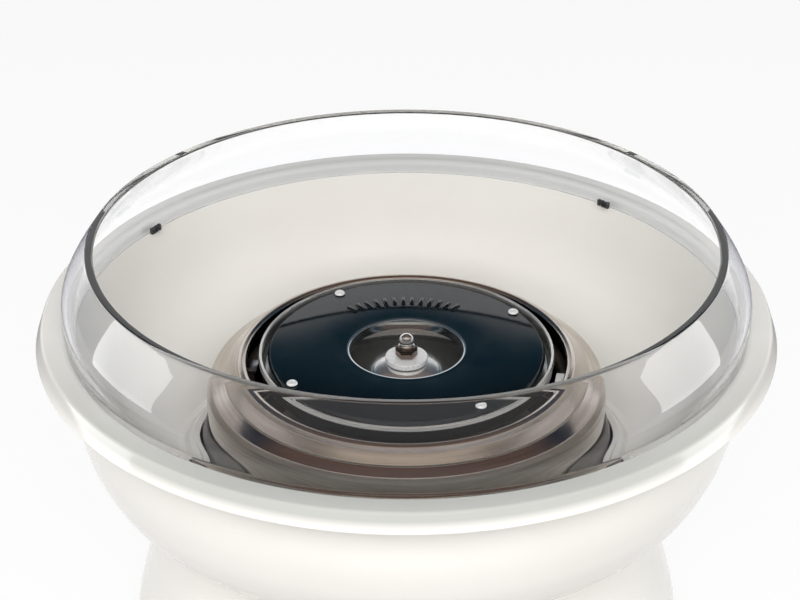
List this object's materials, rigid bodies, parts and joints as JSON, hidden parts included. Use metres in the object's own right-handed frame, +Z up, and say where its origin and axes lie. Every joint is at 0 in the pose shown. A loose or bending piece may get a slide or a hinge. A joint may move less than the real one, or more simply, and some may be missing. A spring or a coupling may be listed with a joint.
{
  "type": "cotton candy machine",
  "caption": "Countertop cotton candy machine: round base with motor and heater, spinning sugar head in a metal collar, lift-off bowl and clear splash guard.",
  "frame": {"origin": "on the table, on the head's axis", "axes": "+Z up along the head's axis, -Y towards the switch on the front"},
  "size_m": [0.2978, 0.2978, 0.1884],
  "materials": {
    "cream": "glossy warm white moulded plastic",
    "clear": "clear polished plastic",
    "black_enamel": "glossy black coating on sheet metal",
    "collar_metal": "bright drawn sheet with fine scratches",
    "aluminium": "polished spun aluminium",
    "steel": "plated steel",
    "bright": "polished",
    "element": "heat-darkened metal sheath",
    "ceramic": "white unglazed ceramic",
    "rubber": "soft black rubber",
    "black_plastic": "black moulded plastic",
    "seal": "dark grey heat-proof rubber",
    "copper": "enamelled copper",
    "bronze": "sintered bronze",
    "iron": "dark grey pressed metal",
    "carbon": "matt graphite",
    "insulation": "woven glass sleeve over wire"
  },
  "bodies": {
    "base": {"base_shell": "cream", "base_plate": "black_plastic", "rubber_foot_1": "rubber", "rubber_foot_2": "rubber", "rubber_foot_3": "rubber", "rubber_foot_4": "rubber", "base_screw_1": "steel", "base_screw_2": "steel", "base_screw_3": "steel", "heat_collar": "collar_metal", "collar_screw_1": "steel", "collar_screw_2": "steel", "collar_screw_3": "steel", "collar_seal": "seal", "heat_tray": "aluminium", "heater_ring": "element", "terminal_block": "ceramic", "ceramic_holder_1": "ceramic", "ceramic_holder_2": "ceramic", "ceramic_holder_3": "ceramic", "cutout_bracket": "steel", "thermal_cutout": "bright", "motor_bracket": "steel", "bracket_screw_1": "steel", "bracket_screw_2": "steel", "bracket_screw_3": "steel", "motor_can": "steel", "motor_end_cap": "black_plastic", "brush_1": "carbon", "brush_2": "carbon", "upper_bush": "bronze", "lower_bush": "bronze", "magnet_1": "iron", "magnet_2": "iron", "switch_housing": "black_plastic", "cord_bush": "rubber", "heater_lead": "insulation", "motor_lead": "insulation"},
    "spinning_head": {"motor_shaft": "steel", "drive_pin": "bright", "rotor_core": "iron", "winding_top": "copper", "winding_bottom": "copper", "commutator": "copper", "cooling_fan": "black_plastic", "head_pan": "aluminium", "perforated_band": "aluminium", "cover_disc": "black_enamel", "rivet_1": "bright", "rivet_2": "bright", "rivet_3": "bright", "rivet_4": "bright", "cone_hub": "aluminium", "washer": "bright", "acorn_nut": "bright"},
    "bowl_unit": {"bowl": "cream"},
    "guard_unit": {"splash_guard": "clear", "guard_clip_1": "iron", "guard_clip_2": "iron"},
    "switch_rocker": {"rocker": "black_plastic"}
  },
  "joints": [
    {"name": "head_spin", "type": "hinge", "parent": "base", "child": "spinning_head", "pos_m": [0, 0, 0.1], "axis": [0, 0, 1], "continuous": true},
    {"name": "bowl_lift", "type": "slide", "parent": "base", "child": "bowl_unit", "axis": [0, 0, 1], "range_m": [0, 0.12]},
    {"name": "guard_lift", "type": "slide", "parent": "bowl_unit", "child": "guard_unit", "axis": [0, 0, 1], "range_m": [0, 0.06]},
    {"name": "switch_rock", "type": "hinge", "parent": "base", "child": "switch_rocker", "pos_m": [0, -0.1145, 0.036], "axis": [-1, 0, 0], "range_deg": [0, 20]}
  ]
}
